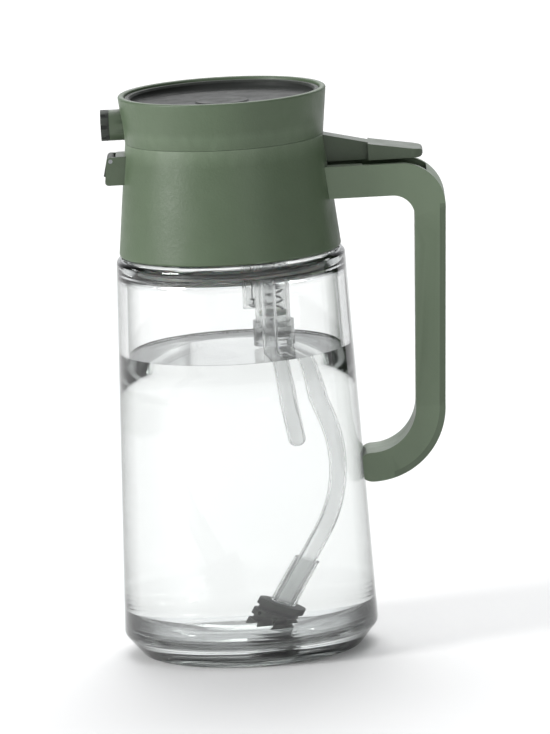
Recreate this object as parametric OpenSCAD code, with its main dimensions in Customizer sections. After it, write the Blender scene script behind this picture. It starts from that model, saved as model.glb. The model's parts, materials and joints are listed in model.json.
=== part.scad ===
// Hand mister: a glass bottle with a screw-on pump head, a thumb lever, a pour spout and a C-shaped handle.
// Millimetres, +Z up. The origin is the centre of the foot; the nozzle points to -X and the handle to +X.

/* [Bottle] */
// Radius of the bottle at its widest, just above the foot
corner_r = 42; // [41:0.5:43]
// Height of the widest ring above the table
corner_z = 8; // [6:0.5:10]
// Radius of the flat foot
foot_r = 36.8; // [35:0.2:38]
// Radius of the bottle at the top of its straight wall
shoulder_r = 37.75; // [37:0.25:38.5]
// Height of the flat shoulder under the head
shoulder_z = 132.7; // [131:0.1:133]
// Thickness of the glass wall
glass_t = 3.2; // [2.4:0.2:4]
// Thickness of the glass base at its centre
base_t = 4.8; // [4.4:0.2:6]
// Outer radius of the neck
neck_r = 30; // [29:0.2:30.4]
// Inner radius of the mouth
mouth_r = 26.2; // [25:0.2:26.6]
// Height of the mouth's rim
mouth_z = 147.5; // [146.5:0.1:148]

/* [Head] */
// Radius of the head at its lower edge
head_bottom_r = 36.5; // [36.2:0.1:37]
// Height of the head's lower edge
head_bottom_z = 133; // [132.8:0.1:133.4]
// Radius of the head at the seam between its two shells
waist_r = 32.6; // [32.4:0.1:33]
// Height of the seam
waist_z = 170.5; // [170:0.1:171]
// Radius of the flared rim
rim_r = 34.2; // [33.8:0.1:35]
// Height of the rim
rim_z = 186; // [185.5:0.1:188]
// Wall thickness of the two shells
shell_t = 2; // [1.6:0.1:2.2]

/* [Nozzle and spout] */
// Height of the nozzle's axis
nozzle_z = 176.4; // [176:0.1:177]
// Radius of the round nozzle
nozzle_r = 5.1; // [4.6:0.1:5.2]
// Distance from the bottle's axis to the nozzle's face
nozzle_reach = 40.2; // [39.5:0.1:42]
// Thickness of the turning nozzle cap in front of the nozzle body
nozzle_cap_t = 2.7; // [2.4:0.1:3]
// Width of the pour spout
spout_w = 13; // [12:0.5:13]
// Height of the spout's underside
spout_bottom_z = 157.2; // [157:0.1:157.6]
// Height of the spout's top
spout_top_z = 166.6; // [166.4:0.1:167]

/* [Lever] */
// Distance of the lever's pivot from the bottle's axis, toward the nozzle
pivot_x = -10; // [-11:0.5:-9.5]
// Height of the lever's pivot
pivot_z = 166; // [165.5:0.1:166]
// Radius of the pivot pin
pivot_r = 1.5; // [1.2:0.1:1.6]
// Distance from the bottle's axis to the lever's tip
lever_tip_x = 64.9; // [63:0.1:65]
// Width of the lever's neck
lever_neck_w = 8; // [7:0.5:8]
// Width of the thumb paddle
paddle_w = 14.6; // [13:0.2:15]

/* [Handle] */
// Width of the handle, side to side
handle_w = 20; // [19:0.5:22]
// Height of the handle's top edge beside the lever
arm_top_z = 159.9; // [159.5:0.1:160]
// Height of the underside of the handle's upper arm
arm_bottom_z = 149.4; // [149:0.1:149.6]
// Thickness of the strip that closes the back of the handle
strip_t = 2; // [1.6:0.1:2.2]
// Gap between the handle's free end and the glass
tip_gap = 0.9; // [0.7:0.1:1.5]

/* [Pump] */
// Distance of the pump's axis from the bottle's axis
pump_x = 12.8; // [12.6:0.1:13]
// Bore radius of the pump barrel
pump_bore_r = 4.6; // [4.4:0.1:4.7]
// Outer radius of the pump barrel
barrel_r = 5.8; // [5.6:0.1:5.9]
// Height of the bottom end of the barrel
barrel_bottom_z = 104.5; // [104:0.1:105]
// Radius of the two check balls
ball_r = 1.6; // [1.5:0.05:1.65]

/* [Tubes] */
// Outer radius of the suction tube
dip_r = 2.5; // [2.3:0.1:2.6]
// Bore radius of the suction tube
dip_bore_r = 1.75; // [1.7:0.05:1.8]
// Distance of the suction tube's top end from the bottle's axis
dip_x = 16.6; // [16.4:0.1:16.8]
// Outer radius of the breather tube
air_r = 2.5; // [2.3:0.1:2.6]
// Radius of the ribbed filter weight
filter_r = 6.2; // [5.8:0.1:6.3]
// Length of the ribbed filter weight
filter_l = 9; // [8:0.5:9]

/* [Hidden] */
$fn = 72;
eps = 0.01;

// Colours of the materials
sage = [0.46, 0.53, 0.43];
dark_green = [0.26, 0.31, 0.24];
dark_grey = [0.24, 0.24, 0.25];
clear = [0.80, 0.88, 0.88, 0.45];
milky = [0.86, 0.88, 0.86];
steel = [0.72, 0.72, 0.74];
rubber = [0.75, 0.75, 0.72];

// Heights of the stack on top of the bottle's mouth
gasket_t = 1.5;
deck_t = 3;
deck_z = mouth_z + gasket_t;
deck_top_z = deck_z + deck_t;
deck_r = 31.6;
boss_top_z = waist_z + 0.5;
floor_t = 1.6;
floor_top_z = boss_top_z + floor_t;
boss_xy = 17;
boss_r = 3.2;
dish_z = 180.8;

// The pressure tube leaves the outlet valve, turns level and enters the nozzle from behind
tube_r = 2.6;
tube_bore_r = 1.8;
barb_r = 1.75;
level_turn_r = 5;
side_turn_r = 10;
side_turn = 25;
tube_run = 22;
level_end_x = -19;
turn_start = [level_end_x + side_turn_r * sin(side_turn), side_turn_r * (1 - cos(side_turn))];
outlet_x = turn_start.x + tube_run * cos(side_turn);
outlet_y = turn_start.y + tube_run * sin(side_turn);
valve_r = 3.4;
valve_top_z = 160.5;
valve_seat_z = deck_top_z + 2;

// Heights inside the pump
seat_z = barrel_bottom_z + 2.5;
seat_hole_r = 1.1;
retainer_z = seat_z + 3.9;
retainer_t = 1.2;
port_z = retainer_z + retainer_t + 1.6;
piston_z = 136;
piston_h = 5;
cap_z = deck_top_z + 1.6;
cap_t = 2;
stem_r = 2.4;
button_top_z = 160;
button_h = 1.6;

// Suction tube: straight down, a bend away from the axis, a straight, a bend back, a straight to the filter
dip_top_z = 101;
dip_turn_out = 17;
dip_turn_back = 26;
dip_start = [dip_x, 100];
dip_r1 = 40;
dip_straight = 13.4;
dip_r2 = 50;
dip_c1 = dip_start + [dip_r1, 0];
dip_p1 = dip_c1 - dip_r1 * [cos(dip_turn_out), sin(dip_turn_out)];
dip_p2 = dip_p1 + dip_straight * [sin(dip_turn_out), -cos(dip_turn_out)];
dip_c2 = dip_p2 - dip_r2 * [cos(dip_turn_out), sin(dip_turn_out)];
dip_p3 = dip_c2 + dip_r2 * [cos(dip_turn_back), -sin(dip_turn_back)];
dip_last = 25.8;
dip_down = [-sin(dip_turn_back), -cos(dip_turn_back)];
dip_end = dip_p3 + dip_last * dip_down;
sleeve_l = 15;
sleeve_r = 3.4;

// Breather tube: beside the pump, toward -Y, then leaning out
air_x = 11.5;
air_y = -13;
air_bend_z = 104;
air_bend_r = 40;
air_lean = 8;
air_c = [air_x + air_bend_r, air_bend_z];
air_p1 = air_c - air_bend_r * [cos(air_lean), sin(air_lean)];
air_tail = 27;

// Handle outline
corner_c = [57.2, arm_top_z - 14.3];
corner_out_r = 14.3;
finger_c = [54.2, arm_bottom_z - 7];
finger_r = 7;
hook_c = [43, 79.6];
hook_out_r = 25;
hook_in_r = 15.3;
tip_r = (hook_out_r - hook_in_r) / 2;
trough_floor_z = 152.2;
strip_top_z = 146;
strip_screw_z = [92, 134];
handle_screw_y = 7.4;
handle_screw_z = 157.2;

// Front of the spout and its flap
flap_pin_x = -37.6;
flap_pin_z = 165.2;
flap_pin_r = 0.7;
knuckle_r = 1.3;
flap_t = 1.9;
flap_lean = 13;
flap_l = 5.5;
knuckle_w = 10;

function arc_points(centre, radius, from, to, steps) =
    [for (i = [0 : steps]) let (a = from + (to - from) * i / steps) centre + radius * [cos(a), sin(a)]];
function shell_r(z) =
    head_bottom_r + (waist_r - head_bottom_r) * (z - head_bottom_z) / (waist_z - head_bottom_z);
function cover_r(z) = waist_r + (rim_r - waist_r) * (z - waist_z) / (rim_z - waist_z);
function back_x(z) =
    let (low = hook_c.x + hook_out_r, high = corner_c.x + corner_out_r)
    low + (high - low) * (z - hook_c.y) / (corner_c.y - hook_c.y);
function bottle_r(z) = corner_r + (shoulder_r - corner_r) * (z - corner_z) / (shoulder_z - 2.5 - corner_z);

// A flat outline drawn in X and Z, thickened to both sides of the XZ plane
module side_slab(width) {
    rotate([90, 0, 0]) linear_extrude(height = width, center = true) children();
}

// A straight rod in the XZ plane; lean is measured from straight down toward +X
module tube_straight(from, lean, length, radius) {
    translate([from.x, 0, from.y]) rotate([0, 180 - lean, 0]) cylinder(r = radius, h = length);
}

// A tube along a path of points, with an outer and an inner radius at each point;
// side is a direction that the path never runs along
module swept_tube(path, side, outer, inner, sides) {
    last = len(path) - 1;
    rings = [for (i = [0 : last])
        let (
            along = path[min(i + 1, last)] - path[max(i - 1, 0)],
            u = cross(along, side) / norm(cross(along, side)),
            v = cross(along, u) / norm(cross(along, u))
        )
        for (r = [outer[i], inner[i]], j = [0 : sides - 1])
            path[i] + r * cos(j * 360 / sides) * u + r * sin(j * 360 / sides) * v];
    function at(i, wall, j) = (2 * i + wall) * sides + j % sides;
    outside = [for (i = [0 : last - 1], j = [0 : sides - 1])
        [at(i, 0, j), at(i, 0, j + 1), at(i + 1, 0, j + 1), at(i + 1, 0, j)]];
    inside = [for (i = [0 : last - 1], j = [0 : sides - 1])
        [at(i, 1, j), at(i + 1, 1, j), at(i + 1, 1, j + 1), at(i, 1, j + 1)]];
    start = [for (j = [0 : sides - 1]) [at(0, 0, j), at(0, 1, j), at(0, 1, j + 1), at(0, 0, j + 1)]];
    end = [for (j = [0 : sides - 1])
        [at(last, 0, j), at(last, 0, j + 1), at(last, 1, j + 1), at(last, 1, j)]];
    polyhedron(points = rings, faces = concat(outside, inside, start, end));
}

// A pan-head screw standing on its head's underside, point down
module pan_screw(head_r, head_h, shaft_r, shaft_l) {
    difference() {
        union() {
            cylinder(r = head_r, h = head_h);
            translate([0, 0, -shaft_l]) cylinder(r = shaft_r, h = shaft_l + eps);
        }
        for (turn = [0, 90]) rotate([0, 0, turn])
            translate([-head_r * 0.6, -0.35, head_h - 0.9]) cube([head_r * 1.2, 0.7, 1]);
    }
}

// Places its children on the four bosses of the pump deck
module at_bosses() {
    for (sx = [-1, 1], sy = [-1, 1]) translate([sx * boss_xy, sy * boss_xy, 0]) children();
}

module bottle() {
    punt_r = 25;
    punt_h = 1.2;
    shoulder_c = [shoulder_r - 2.5, shoulder_z - 2.5];
    inner_top = bottle_r(126) - glass_t;
    inner_low = bottle_r(15) - glass_t;
    outline = concat(
        [[0, punt_h + 0.6], [punt_r, punt_h]],
        arc_points([30, 1.2], 1.2, 160, 270, 4),
        arc_points([foot_r - 1.2, 1.2], 1.2, 270, 320, 4),
        arc_points([corner_r - 3, corner_z], 3, -42, 0, 6),
        arc_points(shoulder_c, 2.5, 2, 90, 8),
        [[neck_r, shoulder_z]],
        arc_points([neck_r - 1.4, mouth_z - 1.4], 1.4, 0, 90, 5),
        arc_points([mouth_r + 1, mouth_z - 1], 1, 90, 180, 5),
        arc_points([mouth_r + 5, 135.5], 5, 180, 232, 6),
        arc_points([inner_top - 5, 124], 5, 50, 0, 6),
        arc_points([inner_low - 10, base_t + 10.4], 10, 0, -62, 8),
        [[20, base_t + 0.4], [0, base_t]]
    );
    color(clear) union() {
        rotate_extrude() polygon(outline);
        for (z = [137.6, 142.4]) rotate_extrude() translate([neck_r - 0.6, z]) circle(r = 1.5);
    }
}

module neck_gasket() {
    color(rubber) translate([0, 0, mouth_z]) difference() {
        cylinder(r = neck_r, h = gasket_t);
        translate([0, 0, -1]) cylinder(r = mouth_r + 0.4, h = gasket_t + 2);
    }
}

module threaded_collar() {
    low_z = head_bottom_z + 1.5;
    ring_h = deck_z - low_z;
    color(milky) translate([0, 0, low_z]) difference() {
        cylinder(r = 32.3, h = ring_h);
        translate([0, 0, -1]) cylinder(r = neck_r + 1.2, h = ring_h + 2);
    }
}

module pump_deck() {
    cheek_t = 2.6;
    cheek_y = lever_neck_w / 2 + 0.4;
    color(milky) difference() {
        union() {
            translate([0, 0, deck_z]) cylinder(r = deck_r, h = deck_t);
            at_bosses() translate([0, 0, deck_top_z - 1])
                cylinder(r = boss_r, h = boss_top_z - deck_top_z + 1);
            for (side = [-1, 1])
                translate([0, side * (cheek_y + cheek_t / 2), 0]) side_slab(cheek_t) {
                    translate([pivot_x, pivot_z]) circle(r = 3.6);
                    translate([pivot_x - 3.6, deck_top_z - 1]) square([7.2, pivot_z - deck_top_z + 1]);
                }
        }
        translate([pump_x, 0, deck_z - 1]) cylinder(r = barrel_r, h = deck_t + 2);
        translate([outlet_x, outlet_y, deck_z - 1]) cylinder(r = 1.1, h = deck_t + 2);
        translate([air_x, air_y, deck_z - 1]) cylinder(r = air_r, h = deck_t + 2);
        translate([-26, -4.6, deck_z - 1]) cube([7.4, 9.2, deck_t + 2]);
        at_bosses() translate([0, 0, deck_top_z + 4]) cylinder(r = 1.25, h = 20);
        translate([pivot_x, 0, pivot_z]) rotate([90, 0, 0]) cylinder(r = pivot_r, h = 40, center = true);
    }
}

module head_shell() {
    ledge_z = deck_top_z + 0.2;
    outline = concat(
        arc_points([head_bottom_r - 0.8, head_bottom_z + 0.8], 0.8, -90, 0, 4),
        [
            [shell_r(149) + 0.1, 149],
            [waist_r, waist_z - 0.1],
            [waist_r - shell_t, waist_z - 0.1],
            [shell_r(ledge_z + 1.6) - shell_t, ledge_z + 1.6],
            [29.8, ledge_z + 1.6],
            [29.8, ledge_z],
            [shell_r(ledge_z) - shell_t, ledge_z],
            [head_bottom_r - shell_t, head_bottom_z]
        ]
    );
    slot_w = lever_neck_w + 0.8;
    color(sage) difference() {
        rotate_extrude() polygon(outline);
        translate([25, -slot_w / 2, ledge_z]) cube([20, slot_w, 30]);
        translate([-45, -spout_w / 2, spout_bottom_z]) cube([20, spout_w, spout_top_z - spout_bottom_z]);
        for (side = [-1, 1])
            translate([25, side * handle_screw_y, handle_screw_z]) rotate([0, 90, 0])
                cylinder(r = 1.6, h = 20);
    }
}

module top_cover() {
    spigot_r = waist_r - shell_t - 0.1;
    ledge_r = cover_r(dish_z) - shell_t;
    outline = concat(
        [[0, boss_top_z], [spigot_r - 1.8, boss_top_z], [spigot_r - 1.8, waist_z - 2.6]],
        [[spigot_r, waist_z - 2.6], [spigot_r, waist_z], [waist_r, waist_z]],
        arc_points([rim_r - 0.7, rim_z - 0.7], 0.7, 5, 90, 4),
        arc_points([rim_r - 1.3, rim_z - 0.7], 0.7, 90, 180, 4),
        [
            [ledge_r, dish_z],
            [ledge_r - 2.4, dish_z],
            [ledge_r - 2.4, dish_z - 1],
            [ledge_r - 0.4, dish_z - 2.6],
            [waist_r - shell_t, floor_top_z],
            [0, floor_top_z]
        ]
    );
    notch_w = lever_neck_w + 0.8;
    color(sage) difference() {
        rotate_extrude() polygon(outline);
        translate([20, -notch_w / 2, waist_z - 5]) cube([20, notch_w, 5]);
        translate([-45, 0, nozzle_z]) rotate([0, 90, 0]) cylinder(r = 3.3, h = 20);
        translate([outlet_x, outlet_y, boss_top_z - 1]) cylinder(r = 3.6, h = floor_t + 2);
        at_bosses() translate([0, 0, boss_top_z - 1]) cylinder(r = 1.6, h = floor_t + 2);
    }
}

module top_dish() {
    rim_top_z = rim_z - 0.9;
    dish_r = cover_r(dish_z) - shell_t - 0.1;
    outline = concat(
        [[0, dish_z + 0.2], [dish_r - 0.6, dish_z + 0.2]],
        [[dish_r, dish_z + 0.8], [dish_r + 0.35, rim_top_z], [dish_r - 0.9, rim_top_z]],
        arc_points([dish_r - 3.6, dish_z + 3.6], 2.2, 0, -90, 6),
        [[9, dish_z + 1.4], [8.4, dish_z + 1.9], [0, dish_z + 1.9]]
    );
    color(dark_grey) rotate_extrude() polygon(outline);
}

module cover_screws() {
    color(steel) at_bosses() translate([0, 0, floor_top_z]) pan_screw(2.8, 2, 1.2, 11);
}

// Everything inside the handle's outer edge, in X and Z; inset moves that edge inward
module handle_outer(inset) {
    translate([30, arm_bottom_z - 20]) square([corner_c.x - 30, arm_top_z - arm_bottom_z + 20]);
    translate(corner_c) circle(r = corner_out_r - inset);
    translate(hook_c) circle(r = hook_out_r - inset);
    polygon([
        [corner_c.x - 2, corner_c.y],
        [corner_c.x + corner_out_r - inset, corner_c.y],
        [hook_c.x + hook_out_r - inset, hook_c.y],
        [hook_c.x, hook_c.y]
    ]);
}

// The finger opening and everything left of the handle; grow moves its edge outward into the handle
module handle_window(grow) {
    translate(finger_c) circle(r = finger_r + grow);
    translate(hook_c) circle(r = hook_in_r + grow);
    polygon([
        [0, finger_c.y + finger_r + grow],
        [finger_c.x, finger_c.y + finger_r + grow],
        [finger_c.x + 1, finger_c.y],
        [finger_c.x + finger_r + grow, finger_c.y],
        [hook_c.x + hook_in_r + grow, hook_c.y],
        [0, hook_c.y]
    ]);
    translate([0, 0]) square([hook_c.x, hook_c.y + 1]);
}

module handle() {
    hollow_w = handle_w - 5;
    trough_w = paddle_w + 0.8;
    neck_slot_w = lever_neck_w + 1.2;
    color(sage) difference() {
        side_slab(handle_w) {
            difference() {
                handle_outer(0);
                handle_window(0);
                strip_area();
            }
            translate(hook_c - [0, hook_out_r - tip_r]) circle(r = tip_r);
        }
        // Clearance from the head and from the glass
        translate([0, 0, head_bottom_z])
            cylinder(r1 = head_bottom_r + 0.15, r2 = waist_r + 0.15, h = waist_z - head_bottom_z);
        cylinder(r1 = bottle_r(0) + tip_gap, r2 = bottle_r(100) + tip_gap, h = 100);
        // Trough that takes the lever
        translate([30, -neck_slot_w / 2, trough_floor_z]) cube([20, neck_slot_w, 20]);
        translate([44.8, -trough_w / 2, trough_floor_z]) cube([21, trough_w, 20]);
        // Moulded hollow behind the closing strip, with posts for its screws
        difference() {
            side_slab(hollow_w) difference() {
                handle_outer(strip_t - eps);
                handle_window(2.6);
                translate([0, strip_top_z - 6]) square([90, 60]);
                square([50, 90]);
            }
            for (z = strip_screw_z) translate([55, 0, z]) rotate([0, 90, 0]) cylinder(r = 3, h = 20);
        }
        for (z = strip_screw_z)
            translate([back_x(z) - 9, 0, z]) rotate([0, 90, 0]) cylinder(r = 1.25, h = 12);
        // Pilot holes of the two mounting screws
        for (side = [-1, 1])
            translate([30, side * handle_screw_y, handle_screw_z]) rotate([0, 90, 0])
                cylinder(r = 1.15, h = 13);
    }
}

// Region of the strip that closes the back of the handle
module strip_area() {
    difference() {
        handle_outer(0);
        handle_outer(strip_t);
        translate([0, strip_top_z]) square([90, 60]);
        square([50, 90]);
        translate([0, 90]) square([60, 60]);
    }
}

module handle_strip() {
    color(dark_green) difference() {
        side_slab(handle_w) strip_area();
        for (z = strip_screw_z) translate([back_x(z), 0, z]) rotate([0, 90, 0]) {
            translate([0, 0, -10]) cylinder(r = 1.3, h = 20);
            translate([0, 0, -1]) cylinder(r = 2.4, h = 5);
        }
    }
}

module handle_screws() {
    color(steel) for (side = [-1, 1])
        translate([30.1, side * handle_screw_y, handle_screw_z]) rotate([0, -90, 0])
            pan_screw(2.4, 1.6, 1.1, 12);
}

module strip_screws() {
    color(steel) for (z = strip_screw_z)
        translate([back_x(z) - 1, 0, z]) rotate([0, 90, 0]) pan_screw(2.2, 0.8, 1.2, 7);
}

module trigger_lever() {
    tip_z = 162.6;
    outline = concat(
        arc_points([pivot_x, pivot_z], 4, 90, 270, 12),
        [[pump_x - 5, pivot_z - 4], [33, 161], [lever_tip_x - 1.5, tip_z - 1.4]],
        arc_points([lever_tip_x - 1.4, tip_z], 1.4, -90, 60, 6),
        [[48, 166.4], [32.4, 170]]
    );
    paddle_x = 47;
    color(dark_green) difference() {
        union() {
            side_slab(lever_neck_w) {
                polygon(outline);
                translate([pump_x, 163.2]) circle(r = 3);
            }
            side_slab(paddle_w) intersection() {
                polygon(outline);
                translate([paddle_x, 150]) square([30, 30]);
            }
        }
        translate([pivot_x, 0, pivot_z]) rotate([90, 0, 0])
            cylinder(r = pivot_r + 0.05, h = 40, center = true);
        // Round corners of the thumb paddle, seen from above
        for (side = [-1, 1])
            scale([1, side, 1]) translate([lever_tip_x - 4, paddle_w / 2 - 4, 150]) difference() {
                cube([10, 10, 30]);
                cylinder(r = 4, h = 30);
            }
    }
}

module lever_pin() {
    pin_l = lever_neck_w + 6;
    color(steel) translate([pivot_x, 0, pivot_z]) rotate([90, 0, 0])
        cylinder(r = pivot_r, h = pin_l, center = true);
}

module pump_barrel() {
    away = [outlet_x - pump_x, outlet_y];
    web_turn = atan2(away.y, away.x);
    web_l = norm(away);
    riser_z = port_z - 2;
    color(clear) difference() {
        union() {
            translate([pump_x, 0, barrel_bottom_z]) cylinder(r = barrel_r, h = cap_z - barrel_bottom_z);
            translate([pump_x, 0, deck_top_z]) cylinder(r = 7.6, h = cap_z - deck_top_z);
            translate([outlet_x, outlet_y, riser_z]) cylinder(r = 2.2, h = deck_z - riser_z);
            translate([pump_x, 0, riser_z]) rotate([0, 0, web_turn])
                translate([4, -0.8, 3]) cube([web_l - 4, 1.6, 30]);
            translate([pump_x, 0, port_z]) rotate([0, 0, web_turn]) rotate([0, 90, 0])
                cylinder(r = 1.7, h = web_l);
        }
        translate([pump_x, 0, seat_z]) cylinder(r = pump_bore_r, h = 60);
        translate([pump_x, 0, barrel_bottom_z - 1]) cylinder(r = seat_hole_r, h = 10);
        translate([outlet_x, outlet_y, riser_z + 1]) cylinder(r = 1.1, h = 60);
        translate([pump_x, 0, port_z]) rotate([0, 0, web_turn]) rotate([0, 90, 0])
            cylinder(r = 0.9, h = web_l);
    }
}

module barrel_cap() {
    color(milky) translate([pump_x, 0, 0]) difference() {
        union() {
            translate([0, 0, cap_z]) cylinder(r = 7.6, h = cap_t);
            translate([0, 0, cap_z - 4]) cylinder(r = pump_bore_r - 0.05, h = 5);
        }
        translate([0, 0, cap_z - 5]) cylinder(r = stem_r + 0.06, h = 10);
    }
}

module plunger() {
    color(milky) translate([pump_x, 0, 0]) difference() {
        union() {
            translate([0, 0, piston_z]) cylinder(r = 3.4, h = piston_h);
            translate([0, 0, piston_z]) cylinder(r = pump_bore_r - 0.3, h = 1.2);
            translate([0, 0, piston_z + piston_h - 1.2]) cylinder(r = pump_bore_r - 0.3, h = 1.2);
            translate([0, 0, piston_z]) cylinder(r = stem_r, h = button_top_z - piston_z - 0.5);
            translate([0, 0, button_top_z - button_h]) cylinder(r = 3.4, h = button_h);
        }
        translate([0, 0, piston_z - 1]) cylinder(r = 1.4, h = 3);
    }
}

module piston_seal() {
    color(rubber) translate([pump_x, 0, piston_z + 1.25]) difference() {
        cylinder(r = pump_bore_r - 0.05, h = piston_h - 2.5);
        translate([0, 0, -1]) cylinder(r = 3.42, h = piston_h);
    }
}

module return_spring() {
    wire_r = 0.4;
    coil_r = 3.3;
    turns = 7;
    per_turn = 24;
    sides = 8;
    low_z = retainer_z + retainer_t + wire_r + 0.05;
    rise = piston_z - low_z - wire_r - 0.05;
    rings = turns * per_turn;
    points = [for (i = [0 : rings], j = [0 : sides - 1])
        let (a = i * 360 / per_turn, b = j * 360 / sides, r = coil_r + wire_r * cos(b))
        [r * cos(a), r * sin(a), low_z + rise * i / rings + wire_r * sin(b)]];
    walls = [for (i = [0 : rings - 1], j = [0 : sides - 1])
        let (k = (j + 1) % sides)
        [i * sides + j, i * sides + k, (i + 1) * sides + k, (i + 1) * sides + j]];
    ends = [[for (j = [sides - 1 : -1 : 0]) j], [for (j = [0 : sides - 1]) rings * sides + j]];
    color(steel) translate([pump_x, 0, 0]) polyhedron(points = points, faces = concat(walls, ends));
}

module ball_retainer() {
    color(milky) translate([pump_x, 0, retainer_z]) difference() {
        cylinder(r = pump_bore_r - 0.05, h = retainer_t);
        for (turn = [0 : 90 : 270]) rotate([0, 0, turn])
            translate([2, 0, -1]) cylinder(r = 0.9, h = 4);
    }
}

module inlet_foot() {
    foot_h = 8;
    foot_r1 = 6.8;
    barb_l = 3;
    color(milky) difference() {
        union() {
            translate([pump_x, 0, dip_top_z]) cylinder(r = foot_r1, h = foot_h);
            translate([dip_x, 0, dip_top_z - barb_l]) cylinder(r = dip_bore_r - 0.13, h = barb_l + 1);
        }
        translate([pump_x, 0, barrel_bottom_z]) cylinder(r = barrel_r, h = 10);
        translate([dip_x, 0, dip_top_z - barb_l - 1]) cylinder(r = 0.9, h = barb_l + 3);
        translate([pump_x, 0, dip_top_z + 1.2]) cylinder(r = seat_hole_r, h = 5);
        translate([pump_x, 0, dip_top_z + 2]) rotate([0, 90, 0]) cylinder(r = 0.8, h = dip_x - pump_x);
    }
}

module check_ball(seat_z, hole_r) {
    translate([0, 0, seat_z + sqrt(ball_r * ball_r - hole_r * hole_r) + 0.03]) sphere(r = ball_r);
}

module inlet_ball() {
    color(steel) translate([pump_x, 0, 0]) check_ball(seat_z, seat_hole_r);
}

module outlet_valve() {
    color(milky) translate([outlet_x, outlet_y, 0]) difference() {
        union() {
            translate([0, 0, deck_top_z]) cylinder(r = valve_r, h = valve_top_z - deck_top_z);
            translate([0, 0, valve_top_z - 1]) cylinder(r = barb_r, h = 5.5);
        }
        translate([0, 0, deck_top_z - 1]) cylinder(r = seat_hole_r, h = 5);
        translate([0, 0, valve_seat_z]) cylinder(r = 2, h = 4);
        translate([0, 0, valve_seat_z + 3]) cylinder(r = 1, h = 10);
    }
}

module outlet_ball() {
    color(steel) translate([outlet_x, outlet_y, 0]) check_ball(valve_seat_z, seat_hole_r);
}

module discharge_tube() {
    rise_z = nozzle_z - level_turn_r;
    out = [cos(side_turn), sin(side_turn)];
    side_c = [level_end_x, side_turn_r];
    path = concat(
        [[outlet_x, outlet_y, valve_top_z]],
        [for (i = [0 : 8]) let (a = i * 90 / 8, d = level_turn_r * (1 - cos(a)))
            [outlet_x - d * out.x, outlet_y - d * out.y, rise_z + level_turn_r * sin(a)]],
        [for (i = [0 : 5]) let (a = side_turn * (1 - i / 5))
            [side_c.x + side_turn_r * sin(a), side_c.y - side_turn_r * cos(a), nozzle_z]],
        [[level_end_x - 7, 0, nozzle_z]]
    );
    color(clear)
        swept_tube(path, [-out.y, out.x, 0], [for (p = path) tube_r], [for (p = path) tube_bore_r], 12);
}

module nozzle_body() {
    face_x = nozzle_reach - nozzle_cap_t - 0.1;
    color(dark_green) difference() {
        union() {
            translate([-face_x, 0, nozzle_z]) rotate([0, 90, 0]) cylinder(r = nozzle_r, h = face_x - 30);
            translate([-34, 0, nozzle_z]) rotate([0, 90, 0]) cylinder(r = 3.2, h = 8);
            translate([-27, 0, nozzle_z]) rotate([0, 90, 0]) cylinder(r = barb_r, h = 7);
        }
        // The large front part ends on the outside of the cover
        difference() {
            translate([0, 0, waist_z]) cylinder(r1 = waist_r + 0.02, r2 = rim_r + 0.02, h = rim_z - waist_z);
            translate([-50, 0, nozzle_z]) rotate([0, 90, 0]) cylinder(r = 3.2, h = 40);
        }
        translate([-face_x - 1, 0, nozzle_z]) rotate([0, 90, 0]) cylinder(r = 3.6, h = 4.2);
        translate([-face_x - 1, 0, nozzle_z]) rotate([0, 90, 0]) cylinder(r = 1, h = 30);
    }
}

module nozzle_cap() {
    spigot_l = 2.6;
    color(dark_grey) translate([-nozzle_reach, 0, nozzle_z]) rotate([0, 90, 0]) difference() {
        union() {
            cylinder(r = nozzle_r, h = nozzle_cap_t);
            cylinder(r = 3.52, h = nozzle_cap_t + spigot_l);
        }
        translate([0, 0, -eps]) cylinder(r1 = 2.4, r2 = 0.5, h = 1);
        cylinder(r = 0.4, h = 4);
        translate([0, 0, 1.6]) cylinder(r = 2.2, h = 10);
        // Finger grooves around the rim
        for (turn = [0 : 45 : 315])
            rotate([0, 0, turn]) translate([nozzle_r + 0.5, 0, -1]) cylinder(r = 0.9, h = 2.6);
    }
}

module swirl_core() {
    front_x = nozzle_reach - 1.8;
    back_x = nozzle_reach - nozzle_cap_t - 3.3;
    color(milky) translate([-front_x, 0, nozzle_z]) rotate([0, 90, 0]) difference() {
        cylinder(r = 2.1, h = front_x - back_x);
        for (turn = [0 : 120 : 240]) rotate([0, 0, turn]) translate([2.1, 0, -1]) cylinder(r = 0.5, h = 10);
    }
}

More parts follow.
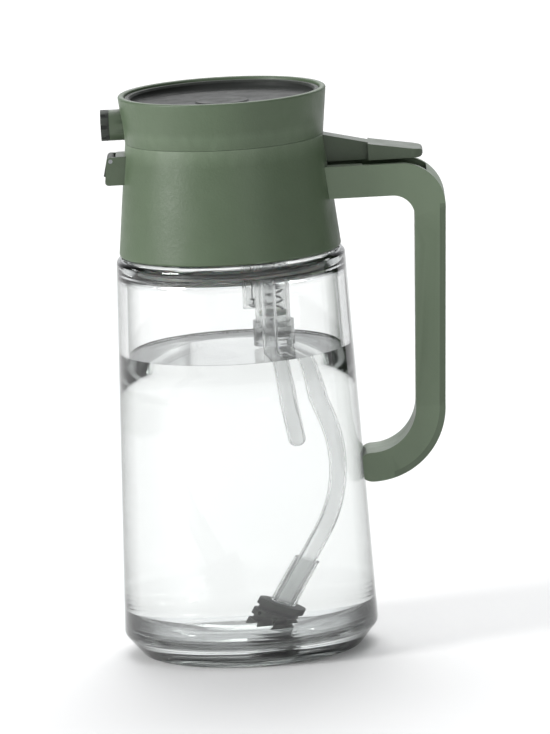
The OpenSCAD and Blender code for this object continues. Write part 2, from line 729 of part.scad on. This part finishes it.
module pour_spout() {
    lip_x = -40.2;
    cheek_w = (spout_w - knuckle_w) / 2 - 0.2;
    color(dark_green) difference() {
        union() {
            side_slab(spout_w) polygon(concat(
                [[-16.4, deck_top_z], [-28.6, deck_top_z], [-28.6, spout_bottom_z]],
                arc_points([lip_x + 1.6, spout_bottom_z + 1.1], 1.1, 270, 90, 6),
                [[-37.4, spout_bottom_z + 2.2], [-35.9, spout_top_z], [-16.4, spout_top_z]]
            ));
            // Cheeks on both sides of the flap
            for (side = [-1, 1])
                translate([0, side * (spout_w - cheek_w) / 2, 0]) side_slab(cheek_w) {
                    translate([flap_pin_x, flap_pin_z]) circle(r = knuckle_r);
                    polygon([
                        [flap_pin_x - knuckle_r, flap_pin_z],
                        [lip_x + 0.5, spout_bottom_z + 1.4],
                        [flap_pin_x + 2, spout_bottom_z + 1.4],
                        [flap_pin_x + 2, spout_top_z - 0.2],
                        [flap_pin_x, flap_pin_z + knuckle_r]
                    ]);
                }
        }
        // Pour channel and its feed from the bottle
        translate([-45, -4.8, spout_bottom_z + 2.2]) cube([27, 9.6, 5.6]);
        translate([-26, -4.6, deck_top_z - 1]) cube([7.4, 9.2, spout_bottom_z - deck_top_z + 4]);
        // Room for the flap's knuckle
        translate([flap_pin_x, 0, flap_pin_z]) rotate([90, 0, 0])
            cylinder(r = knuckle_r + 0.3, h = knuckle_w + 0.4, center = true);
        translate([flap_pin_x, 0, flap_pin_z]) rotate([90, 0, 0])
            cylinder(r = flap_pin_r, h = 40, center = true);
    }
}

module spout_flap() {
    color(dark_grey) translate([flap_pin_x, 0, flap_pin_z]) rotate([0, flap_lean, 0]) rotate([0, 180, 0])
        mirror([1, 0, 0]) difference() {
            union() {
                translate([-knuckle_r, -knuckle_w / 2, 0]) cube([flap_t, knuckle_w, flap_l]);
                rotate([90, 0, 0]) cylinder(r = knuckle_r, h = knuckle_w, center = true);
            }
            rotate([90, 0, 0]) cylinder(r = flap_pin_r + 0.05, h = 40, center = true);
        }
}

module flap_pin() {
    color(steel) translate([flap_pin_x, 0, flap_pin_z]) rotate([90, 0, 0])
        cylinder(r = flap_pin_r, h = spout_w - 0.4, center = true);
}

module air_tube() {
    lean_down = [sin(air_lean), -cos(air_lean)];
    tip = air_p1 + air_tail * lean_down;
    path = concat(
        [[air_x, air_y, deck_top_z]],
        [for (i = [0 : 4]) let (a = air_lean * i / 4)
            [air_c.x - air_bend_r * cos(a), air_y, air_c.y - air_bend_r * sin(a)]],
        [for (i = [0 : 4]) let (d = air_r * sin(i * 70 / 4))
            [tip.x + d * lean_down.x, air_y, tip.y + d * lean_down.y]]
    );
    // The wall is even down to the tip, which rounds in to a small hole
    outer = concat([for (i = [0 : 5]) air_r], [for (i = [0 : 4]) air_r * cos(i * 70 / 4)]);
    inner = [for (r = outer) max(r - 0.7, 0.4)];
    color(clear) swept_tube(path, [0, 1, 0], outer, inner, 20);
}

module dip_tube() {
    path = concat(
        [[dip_x, 0, dip_top_z]],
        [for (i = [0 : 5]) let (a = dip_turn_out * i / 5)
            [dip_c1.x - dip_r1 * cos(a), 0, dip_c1.y - dip_r1 * sin(a)]],
        [for (i = [0 : 14]) let (a = dip_turn_out - (dip_turn_out + dip_turn_back) * i / 14)
            [dip_c2.x + dip_r2 * cos(a), 0, dip_c2.y + dip_r2 * sin(a)]],
        [[dip_end.x, 0, dip_end.y]]
    );
    color(clear) swept_tube(path, [0, 1, 0], [for (p = path) dip_r], [for (p = path) dip_bore_r], 20);
}

module tube_sleeve() {
    start = dip_end - (sleeve_l + 0.2) * dip_down;
    color(milky) difference() {
        tube_straight(start, -dip_turn_back, sleeve_l, sleeve_r);
        tube_straight(start - dip_down, -dip_turn_back, sleeve_l + 2, dip_r + 0.02);
    }
}

// Places its children at the lower end of the suction tube, with +Z along the tube
module at_dip_end() {
    translate([dip_end.x, 0, dip_end.y]) rotate([0, 180 + dip_turn_back, 0]) children();
}

module filter_weight() {
    groove = 0.9;
    color(dark_grey) at_dip_end() difference() {
        union() {
            cylinder(r = filter_r - groove, h = filter_l);
            for (i = [0 : 2]) translate([0, 0, i * (filter_l - 2) / 2]) cylinder(r = filter_r, h = 2);
        }
        translate([0, 0, -1]) cylinder(r = 1.2, h = 6);
        translate([0, 0, 3]) cylinder(r = filter_r - 2.2, h = filter_l);
        for (turn = [0 : 45 : 315]) rotate([0, 0, turn]) translate([0, 0, filter_l / 2]) rotate([0, 90, 0])
            cylinder(r = 0.6, h = filter_r + 1);
    }
}

module filter_screen() {
    color(steel) at_dip_end() translate([0, 0, filter_l - 1.2]) difference() {
        cylinder(r = filter_r - 2.25, h = 0.6);
        for (x = [-2.4 : 1.2 : 2.4], y = [-2.4 : 1.2 : 2.4])
            translate([x, y, -1]) cylinder(r = 0.35, h = 3, $fn = 16);
    }
}

bottle();
neck_gasket();
threaded_collar();
pump_deck();
head_shell();
top_cover();
top_dish();
cover_screws();
handle();
handle_strip();
handle_screws();
strip_screws();
trigger_lever();
lever_pin();
pump_barrel();
barrel_cap();
plunger();
piston_seal();
return_spring();
ball_retainer();
inlet_foot();
inlet_ball();
outlet_valve();
outlet_ball();
discharge_tube();
nozzle_body();
swirl_core();
nozzle_cap();
pour_spout();
spout_flap();
flap_pin();
air_tube();
dip_tube();
tube_sleeve();
filter_weight();
filter_screen();
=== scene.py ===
"""Looks for the hand mister: camera, materials, water, return spring, floor and light."""

import json
import math

import bmesh
import bpy
from mathutils import Euler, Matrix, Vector


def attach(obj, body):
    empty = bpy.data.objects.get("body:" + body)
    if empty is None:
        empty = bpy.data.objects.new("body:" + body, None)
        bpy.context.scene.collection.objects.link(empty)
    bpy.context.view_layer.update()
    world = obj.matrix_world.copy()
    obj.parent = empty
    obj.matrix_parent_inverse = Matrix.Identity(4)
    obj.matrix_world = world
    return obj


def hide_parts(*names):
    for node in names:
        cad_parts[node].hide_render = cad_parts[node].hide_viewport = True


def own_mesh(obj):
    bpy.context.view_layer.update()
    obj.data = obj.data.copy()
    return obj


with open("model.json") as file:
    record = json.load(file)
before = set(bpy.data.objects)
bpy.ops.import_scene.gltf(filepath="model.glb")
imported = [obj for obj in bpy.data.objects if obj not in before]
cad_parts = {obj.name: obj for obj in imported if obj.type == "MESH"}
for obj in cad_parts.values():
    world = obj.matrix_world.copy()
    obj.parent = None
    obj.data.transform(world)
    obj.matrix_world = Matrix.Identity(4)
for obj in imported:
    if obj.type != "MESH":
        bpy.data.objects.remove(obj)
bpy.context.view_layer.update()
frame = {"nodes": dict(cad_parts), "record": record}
nodes = frame["nodes"]

MM = 0.001

# ---------------------------------------------------------------- camera

CAMERA_AZIMUTH = -0.6  # degrees, 0 looks along +Y
CAMERA_ELEVATION = 9.5  # degrees above the horizon
CAMERA_ROLL = 3.2  # degrees; the bottle leans to the left at its top
CAMERA_DISTANCE = 2.81  # metres
CAMERA_TARGET = Vector((0.0125, 0.0, 0.093))
PIXELS_PER_METRE = 3030.0
FRAME_HEIGHT_PX = 734
SENSOR_MM = 36.0
CAMERA_REACH = 50.0  # metres


def make_camera():
    """Camera at the photograph's viewing angle, aimed at the middle of the object."""
    data = bpy.data.cameras.new("camera")
    camera = bpy.data.objects.new("camera", data)
    bpy.context.scene.collection.objects.link(camera)
    azimuth = math.radians(CAMERA_AZIMUTH)
    elevation = math.radians(CAMERA_ELEVATION)
    forward = Vector((
        math.sin(azimuth) * math.cos(elevation),
        math.cos(azimuth) * math.cos(elevation),
        -math.sin(elevation),
    ))
    camera.location = CAMERA_TARGET - CAMERA_DISTANCE * forward
    aim = forward.to_track_quat("-Z", "Y")
    roll = Euler((0.0, 0.0, math.radians(-CAMERA_ROLL))).to_quaternion()
    camera.rotation_euler = (aim @ roll).to_euler()
    data.sensor_fit = "VERTICAL"
    data.sensor_height = SENSOR_MM
    data.lens = PIXELS_PER_METRE * CAMERA_DISTANCE * SENSOR_MM / FRAME_HEIGHT_PX
    data.clip_end = CAMERA_REACH
    bpy.context.scene.camera = camera


make_camera()

# ---------------------------------------------------------------- material helpers

NOISE_ROUGHNESS = 0.55
WEAR_AND_HIGHLIGHT_EDGE = (0.52, 0.62)  # Pointiness where the paler convex edge starts and is full: edge wear, and partly a painted highlight
MIX_COLOURS = (6, 7)  # the Mix node's colour inputs
MIX_RESULT = 2  # and its colour output


def set_range(node, start, end, low, high):
    """A Map Range node that takes start..end to low..high."""
    limits = {"From Min": start, "From Max": end, "To Min": low, "To Max": high}
    for name, number in limits.items():
        node.inputs[name].default_value = number


class Nodes:
    """A new material with its Principled shader, and short calls to add and join nodes."""

    def __init__(self, name):
        self.mat = bpy.data.materials.new(name)
        self.mat.use_nodes = True
        self.tree = self.mat.node_tree
        self.shader = self.tree.nodes["Principled BSDF"]
        self.where = self.tree.nodes.new("ShaderNodeTexCoord").outputs["Object"]

    def set(self, **values):
        for name, value in values.items():
            self.shader.inputs[name.replace("_", " ")].default_value = value

    def link(self, source, target):
        self.tree.links.new(source, target)

    def noise(self, scale, detail, stretch=None):
        node = self.tree.nodes.new("ShaderNodeTexNoise")
        node.inputs["Scale"].default_value = scale
        node.inputs["Detail"].default_value = detail
        node.inputs["Roughness"].default_value = NOISE_ROUGHNESS
        where = self.where
        if stretch:
            mapping = self.tree.nodes.new("ShaderNodeMapping")
            mapping.inputs["Scale"].default_value = stretch
            self.link(where, mapping.inputs["Vector"])
            where = mapping.outputs["Vector"]
        self.link(where, node.inputs["Vector"])
        return node.outputs["Fac"]

    def spread(self, value, low, high, start=0.3, end=0.7):
        """Maps a value from start..end to low..high."""
        node = self.tree.nodes.new("ShaderNodeMapRange")
        set_range(node, start, end, low, high)
        self.link(value, node.inputs["Value"])
        return node.outputs["Result"]

    def mask(self, value):
        """The middle of a noise, spread over the whole of 0..1."""
        return self.spread(value, 0.0, 1.0)

    def blend(self, value, first, second):
        """A colour between two colours or sockets, by value."""
        node = self.tree.nodes.new("ShaderNodeMix")
        node.data_type = "RGBA"
        self.link(value, node.inputs["Factor"])
        for place, colour in zip(MIX_COLOURS, (first, second)):
            socket = node.inputs[place]
            if isinstance(colour, tuple):
                socket.default_value = (*colour, 1.0)
            else:
                self.link(colour, socket)
        return node.outputs[MIX_RESULT]

    def edge(self):
        """1 on convex edges, 0 elsewhere: for edge wear, and partly a painted highlight along
        them.
        """
        geometry = self.tree.nodes.new("ShaderNodeNewGeometry")
        return self.spread(geometry.outputs["Pointiness"], 0.0, 1.0, *WEAR_AND_HIGHLIGHT_EDGE)

    def bump(self, height, distance, strength):
        """Small relief from a height; distance is in metres."""
        node = self.tree.nodes.new("ShaderNodeBump")
        node.inputs["Strength"].default_value = strength
        node.inputs["Distance"].default_value = distance
        self.link(height, node.inputs["Height"])
        self.link(node.outputs["Normal"], self.shader.inputs["Normal"])

    def colour(self, socket):
        self.link(socket, self.shader.inputs["Base Color"])

    def roughness(self, socket):
        self.link(socket, self.shader.inputs["Roughness"])


def linear(red, green, blue):
    """A colour given as 0..255 screen values, as linear light by the sRGB curve."""
    def one(value):
        part = value / 255.0
        return part / 12.92 if part <= 0.04045 else ((part + 0.055) / 1.055) ** 2.4
    return (one(red), one(green), one(blue))


MOULD_GRAIN = 0.00006  # metres, depth of the spark-eroded grain


def moulded_plastic(name, base, deep, edge_wear_and_highlight, rough=(0.38, 0.52), gloss=0.5):
    """Satin moulded plastic: faint mottling, fine spark-eroded grain, paler on its edges from
    wear and a painted highlight.
    """
    m = Nodes(name)
    mottle = m.mask(m.noise(scale=38.0, detail=5.0))
    speck = m.mask(m.noise(scale=900.0, detail=2.0))
    body = m.blend(mottle, base, deep)
    # Paler convex edges: edge wear, and partly a painted highlight, such as the light line along
    # the head's top rim.
    m.colour(m.blend(m.edge(), body, edge_wear_and_highlight))
    m.roughness(m.spread(m.noise(scale=160.0, detail=3.0), *rough))
    m.bump(speck, MOULD_GRAIN, strength=0.5)
    m.set(IOR=1.46, Specular_IOR_Level=gloss)
    return m.mat


def milky_plastic(name):
    """Natural polypropylene: milky, slightly see-through, with faint flow marks."""
    m = Nodes(name)
    flow = m.mask(m.noise(scale=60.0, detail=4.0, stretch=(1.0, 1.0, 0.25)))
    m.colour(m.blend(flow, linear(226, 229, 222), linear(206, 210, 203)))
    m.roughness(m.spread(m.noise(scale=220.0, detail=2.0), low=0.32, high=0.48))
    m.bump(m.noise(scale=700.0, detail=2.0), distance=0.00004, strength=0.4)
    m.set(IOR=1.49, Subsurface_Weight=0.25, Subsurface_Scale=0.004)
    return m.mat


LINE_SHADE = 0.9  # a draw line's share of the plastic's tint
ROUGH_SPREAD = 0.08


def clear_plastic(name, ior, tint, rough):
    """Translucent moulded plastic with faint draw lines along the tube."""
    m = Nodes(name)
    lines = m.noise(scale=300.0, detail=2.0, stretch=(1.0, 1.0, 0.05))
    m.colour(m.blend(m.mask(lines), tint, tuple(part * LINE_SHADE for part in tint)))
    m.roughness(m.spread(m.noise(scale=150.0, detail=2.0), rough, rough + ROUGH_SPREAD))
    m.bump(lines, distance=0.00003, strength=0.3)
    m.set(IOR=ior, Transmission_Weight=0.92)
    return m.mat


GLASS_DENSITY = 14.0  # per metre; long ways through the thick base look grey
GLASS_ABSORBED = (0.2, 0.26, 0.23, 1.0)
GLASS_PAINTED_EDGE_SHADE = (0.07, 0.08, 0.075)  # painted shade: dark colour where the glass is seen at a grazing angle, for the dark edges that the glass's refraction of its surroundings gives
EDGE_SHADE_BLEND = 0.5
EDGE_SHADE_FADE = (0.5, 0.85)  # Facing where the painted edge shade starts and is full


def bottle_glass(name):
    """Clear pressed glass with a faint waviness from the mould, and painted shade darkening it
    toward its outlines.
    """
    m = Nodes(name)
    wave = m.noise(scale=16.0, detail=2.0, stretch=(1.0, 1.0, 0.35))
    clear = m.blend(m.mask(wave), (0.985, 0.99, 0.987), (0.975, 0.982, 0.978))
    grazing = m.tree.nodes.new("ShaderNodeLayerWeight")
    grazing.inputs["Blend"].default_value = EDGE_SHADE_BLEND
    painted_edge_shade = m.spread(grazing.outputs["Facing"], 0.0, 1.0, *EDGE_SHADE_FADE)
    # Painted shade: darker where the glass is seen edge-on, which gives it dark outlines.
    m.colour(m.blend(painted_edge_shade, clear, GLASS_PAINTED_EDGE_SHADE))
    m.roughness(m.spread(m.noise(scale=90.0, detail=3.0), low=0.0, high=0.025))
    m.bump(wave, distance=0.00025, strength=0.25)
    m.set(IOR=1.5, Transmission_Weight=1.0)
    absorption = m.tree.nodes.new("ShaderNodeVolumeAbsorption")
    absorption.inputs["Color"].default_value = GLASS_ABSORBED
    absorption.inputs["Density"].default_value = GLASS_DENSITY
    m.link(absorption.outputs["Volume"], m.tree.nodes["Material Output"].inputs["Volume"])
    return m.mat


def water(name):
    """Clean water, very slightly cool, with a nearly still surface."""
    m = Nodes(name)
    ripple = m.noise(scale=55.0, detail=2.0)
    m.colour(m.blend(m.mask(ripple), (0.995, 0.998, 0.997), (0.99, 0.995, 0.993)))
    m.bump(ripple, distance=0.0001, strength=0.2)
    m.set(IOR=1.333, Transmission_Weight=1.0, Roughness=0.0)
    return m.mat


def steel(name):
    """Stainless steel with fine turning lines and small scuffs."""
    m = Nodes(name)
    lines = m.noise(scale=700.0, detail=3.0, stretch=(1.0, 1.0, 0.08))
    m.colour(m.blend(m.mask(lines), linear(176, 177, 180), linear(142, 143, 147)))
    m.roughness(m.spread(m.noise(scale=240.0, detail=4.0), low=0.2, high=0.42))
    m.bump(lines, distance=0.00003, strength=0.5)
    m.set(Metallic=1.0)
    return m.mat


def silicone(name):
    """Soft pale silicone with a dusty surface."""
    m = Nodes(name)
    dust = m.mask(m.noise(scale=420.0, detail=5.0))
    m.colour(m.blend(dust, linear(198, 198, 190), linear(180, 180, 172)))
    m.roughness(m.spread(m.noise(scale=300.0, detail=3.0), low=0.6, high=0.8))
    m.bump(dust, distance=0.00004, strength=0.5)
    m.set(IOR=1.41)
    return m.mat


# ---------------------------------------------------------------- materials of the CAD nodes

SAGE = moulded_plastic(
    "sage_plastic",
    base=linear(84, 100, 77),
    deep=linear(80, 95, 73),
    edge_wear_and_highlight=linear(108, 123, 101),
)
DARK_GREEN = moulded_plastic(
    "dark_green_plastic",
    base=linear(54, 65, 49),
    deep=linear(49, 60, 45),
    edge_wear_and_highlight=linear(80, 92, 74),
)
# The green plastic made darker: painted shade on the handle's outer edge strip, standing for the
# shaded rounding of that edge.
STRIP_PAINTED_SHADE = moulded_plastic(
    "strip_plastic",
    base=linear(67, 81, 61),
    deep=linear(63, 76, 57),
    edge_wear_and_highlight=linear(92, 105, 86),
)
DARK_GREY = moulded_plastic(
    "dark_grey_plastic",
    base=linear(40, 43, 40),
    deep=linear(36, 38, 36),
    edge_wear_and_highlight=linear(68, 72, 67),
    rough=(0.5, 0.66),
    gloss=0.3,
)
MILKY = milky_plastic("natural_plastic")
# These refract less than real plastic, whose ior is about 1.49, so that they read as thin and
# clear in and above the water, as in the photograph.
BARREL_CLEAR = clear_plastic(
    "clear_barrel_plastic", ior=1.42, tint=(0.96, 0.97, 0.965), rough=0.1)
TUBE_CLEAR = clear_plastic(
    "clear_tube_plastic", ior=1.24, tint=(0.99, 0.995, 0.995), rough=0.0)
SLEEVE_CLEAR = clear_plastic(
    "clear_sleeve_plastic", ior=1.18, tint=(0.96, 0.97, 0.965), rough=0.03)
GLASS = bottle_glass("bottle_glass")
WATER = water("water")
STEEL = steel("steel")
SILICONE = silicone("silicone")

MATERIAL_OF_SLOT = {
    "glass": GLASS,
    "clear_plastic": BARREL_CLEAR,
    "sage_plastic": SAGE,
    "dark_green_plastic": DARK_GREEN,
    "strip_plastic": STRIP_PAINTED_SHADE,
    "dark_grey_plastic": DARK_GREY,
    "natural_plastic": MILKY,
    "silicone": SILICONE,
    "steel": STEEL,
}
MATERIAL_OF_NODE = {
    "dip_tube": TUBE_CLEAR,
    "air_tube": TUBE_CLEAR,
    "tube_sleeve": SLEEVE_CLEAR,
    "inlet_foot": BARREL_CLEAR,
}


def paint_nodes():
    """Every CAD node takes the material of its slot, or its own."""
    slot_of = {part["node"]: part["material_slot"] for part in frame["record"]["subparts"]}
    for name, thing in nodes.items():
        material = MATERIAL_OF_NODE.get(name, MATERIAL_OF_SLOT[slot_of[name]])
        if not thing.data.materials:
            thing.data.materials.append(material)
        for place in thing.material_slots:
            place.link = "OBJECT"
            place.material = material


paint_nodes()

# ---------------------------------------------------------------- bevel of the inlet foot

FOOT_BEVEL = 0.5 * MM
BEVEL_SEGMENTS = 3
SHARP_ANGLE = math.radians(32)


def bevel_foot():
    """Bevels what little of the inlet foot can be bevelled.

    The loaded meshes are split along their sharp edges, where a bevel needs a weld before it to
    do anything. So this rounds nothing visible: it adds 26 triangles in a spot 0.3 mm long.
    """
    bevel = nodes["inlet_foot"].modifiers.new("round_edges", "BEVEL")
    bevel.width = FOOT_BEVEL
    bevel.segments = BEVEL_SEGMENTS
    bevel.limit_method = "ANGLE"
    bevel.angle_limit = SHARP_ANGLE
    bevel.harden_normals = True
    bevel.use_clamp_overlap = True


bevel_foot()

# ---------------------------------------------------------------- water in the bottle

WATER_LEVEL = 100.0  # mm above the foot
INTO_GLASS = 0.1  # mm that the water reaches into the glass, so that no air shows between them
MENISCUS_RISE = 0.6
MENISCUS_WIDTH = 2.0
INNER_LOW = (38.557, 15.2)  # radius and height of the cavity above its rounded bottom, mm
INNER_TOP = (34.696, 126.0)  # near its shoulder; the CAD has this radius at 124.0 mm
FLOOR_HEIGHT = 4.8  # of the cavity's floor in its middle, mm
FLOOR_BEND = (20.0, 0.4)  # radius where the floor turns up, and its rise up to there, mm
BOTTOM_ROUND = 10.0
BOTTOM_SWEEP = 62  # degrees of the rounded bottom
BOTTOM_STEPS = 8
WALL_STEPS = 6
MENISCUS_STEPS = 8
SURFACE_RING = 0.5  # share of the radius where the flat surface has one more ring
RING_SIDES = 128


def wall_radius(height):
    """Radius of the cavity at a height, in mm."""
    part = (height - INNER_LOW[1]) / (INNER_TOP[1] - INNER_LOW[1])
    return INNER_LOW[0] + part * (INNER_TOP[0] - INNER_LOW[0]) + INTO_GLASS


def water_profile():
    """Radius and height of the water's skin, floor's middle to surface's middle, in mm."""
    bend_radius, bend_rise = FLOOR_BEND
    points = [
        (0.0, FLOOR_HEIGHT - INTO_GLASS),
        (bend_radius, FLOOR_HEIGHT + bend_rise - INTO_GLASS),
    ]
    centre = INNER_LOW[0] - BOTTOM_ROUND
    reach = BOTTOM_ROUND + INTO_GLASS
    for step in range(BOTTOM_STEPS + 1):
        angle = math.radians(-BOTTOM_SWEEP * (1 - step / BOTTOM_STEPS))
        radius = centre + reach * math.cos(angle)
        points.append((radius, INNER_LOW[1] + reach * math.sin(angle)))
    top = WATER_LEVEL + MENISCUS_RISE
    for step in range(1, WALL_STEPS + 1):
        height = INNER_LOW[1] + (top - INNER_LOW[1]) * step / WALL_STEPS
        points.append((wall_radius(height), height))
    edge = wall_radius(top)
    for step in range(1, MENISCUS_STEPS + 1):
        part = step / MENISCUS_STEPS
        height = WATER_LEVEL + MENISCUS_RISE * (1 - part) ** 3
        points.append((edge - MENISCUS_WIDTH * part, height))
    points.append((edge * SURFACE_RING, WATER_LEVEL))
    points.append((0.0, WATER_LEVEL))
    return points


def revolved(name, profile):
    """A closed solid of revolution from a profile whose first and last points lie on the axis."""
    mesh = bpy.data.meshes.new(name)
    built = bmesh.new()
    first = built.verts.new((0.0, 0.0, profile[0][1] * MM))
    last = built.verts.new((0.0, 0.0, profile[-1][1] * MM))
    rings = []
    for radius, height in profile[1:-1]:
        ring = []
        for side in range(RING_SIDES):
            angle = math.tau * side / RING_SIDES
            across, along = radius * MM * math.cos(angle), radius * MM * math.sin(angle)
            ring.append(built.verts.new((across, along, height * MM)))
        rings.append(ring)
    for side in range(RING_SIDES):
        after = (side + 1) % RING_SIDES
        built.faces.new((first, rings[0][after], rings[0][side]))
        built.faces.new((last, rings[-1][side], rings[-1][after]))
        for low, high in zip(rings, rings[1:]):
            built.faces.new((low[side], low[after], high[after], high[side]))
    bmesh.ops.recalc_face_normals(built, faces=built.faces)
    built.to_mesh(mesh)
    built.free()
    for face in mesh.polygons:
        face.use_smooth = True
    thing = bpy.data.objects.new(name, mesh)
    bpy.context.scene.collection.objects.link(thing)
    return thing


def make_water():
    """The water, a little way into the glass all round."""
    fill = revolved("water_fill", water_profile())
    fill.data.materials.append(WATER)
    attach(fill, "bottle")


make_water()

# ---------------------------------------------------------------- return spring of the pump


def make_spring():
    """The coil spring under the piston: the whole coil rides on the plunger."""
    coil = bpy.data.objects.new("spring_coil", nodes["return_spring"].data.copy())
    coil.matrix_world = nodes["return_spring"].matrix_world.copy()
    bpy.context.scene.collection.objects.link(coil)
    for place in coil.material_slots:
        place.link = "OBJECT"
        place.material = STEEL
    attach(coil, "plunger")
    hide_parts("return_spring")
    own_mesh(coil)


make_spring()

# ---------------------------------------------------------------- floor and light

FLOOR_SIZE = 6.0  # metres
FLOOR_DROP = 0.0003  # metres below the glass, so that the two don't share a plane
FLOOR_PAINT = ((0.93, 0.93, 0.925), (0.91, 0.91, 0.905))
FLOOR_ROUGHNESS = 0.7
LAMP_AIM = Vector((0.0, 0.0, 0.09))
LAMPS = {  # place and size in metres, power in watts
    "key": ((-1.7, -0.75, 0.75), 0.6, 31.0),
    "fill": ((0.9, -1.9, 0.8), 0.5, 4.0),
    "back": ((0.2, 1.7, 2.0), 1.8, 34.0),
}
WORLD_COLOUR = (0.97, 0.98, 1.0, 1.0)
WORLD_STRENGTH = 1.1
WORLD_SIDE_STRENGTH = 0.1
WORLD_FRONT_SHARE = 0.42
SIDE_FADE = (0.3, 0.75)  # how far sideways a direction points where the dimming starts and ends
FRONT_FADE = (-0.7, 0.1)  # the same from the front toward the back
LIGHT_BOUNCES = 28  # enough for light to get through glass, water and tubes


def pale_floor():
    """A plain pale floor, with the faintest unevenness."""
    mesh = bpy.data.meshes.new("floor")
    half = FLOOR_SIZE / 2
    corners = [(-half, -half, 0.0), (half, -half, 0.0), (half, half, 0.0), (-half, half, 0.0)]
    mesh.from_pydata(corners, [], [(0, 1, 2, 3)])
    floor = bpy.data.objects.new("floor", mesh)
    floor.location = (0.0, 0.0, -FLOOR_DROP)
    bpy.context.scene.collection.objects.link(floor)
    m = Nodes("floor_paint")
    m.colour(m.blend(m.noise(scale=3.0, detail=2.0), *FLOOR_PAINT))
    m.set(Roughness=FLOOR_ROUGHNESS)
    mesh.materials.append(m.mat)


def soft_lamp(name, place, size, power):
    """A square area lamp aimed at the middle of the object."""
    data = bpy.data.lights.new(name, "AREA")
    data.shape = "SQUARE"
    data.size = size
    data.energy = power
    lamp = bpy.data.objects.new(name, data)
    lamp.location = place
    lamp.rotation_euler = (LAMP_AIM - Vector(place)).to_track_quat("-Z", "Y").to_euler()
    bpy.context.scene.collection.objects.link(lamp)


def soft_world():
    """White surroundings, dimmer toward the sides and in front, which shades the shapes."""
    world = bpy.data.worlds.new("studio")
    bpy.context.scene.world = world
    world.use_nodes = True
    tree = world.node_tree
    direction = tree.nodes.new("ShaderNodeTexCoord").outputs["Generated"]
    parts = tree.nodes.new("ShaderNodeSeparateXYZ")
    tree.links.new(direction, parts.inputs["Vector"])
    sideways = tree.nodes.new("ShaderNodeMath")
    sideways.operation = "ABSOLUTE"
    tree.links.new(parts.outputs["X"], sideways.inputs[0])

    def ramp(value, fade, low, high):
        node = tree.nodes.new("ShaderNodeMapRange")
        node.interpolation_type = "SMOOTHSTEP"
        set_range(node, *fade, low, high)
        tree.links.new(value, node.inputs["Value"])
        return node.outputs["Result"]

    light = tree.nodes.new("ShaderNodeMath")
    light.operation = "MULTIPLY"
    across = ramp(sideways.outputs["Value"], SIDE_FADE, WORLD_STRENGTH, WORLD_SIDE_STRENGTH)
    depth = ramp(parts.outputs["Y"], FRONT_FADE, WORLD_FRONT_SHARE, 1.0)
    tree.links.new(across, light.inputs[0])
    tree.links.new(depth, light.inputs[1])
    background = tree.nodes["Background"]
    background.inputs["Color"].default_value = WORLD_COLOUR
    tree.links.new(light.outputs["Value"], background.inputs["Strength"])


pale_floor()
soft_world()
for lamp_name, (lamp_place, lamp_size, lamp_power) in LAMPS.items():
    soft_lamp(lamp_name, lamp_place, lamp_size, lamp_power)
bpy.context.scene.view_settings.view_transform = "Standard"
bpy.context.scene.cycles.max_bounces = LIGHT_BOUNCES
bpy.context.scene.cycles.transmission_bounces = LIGHT_BOUNCES
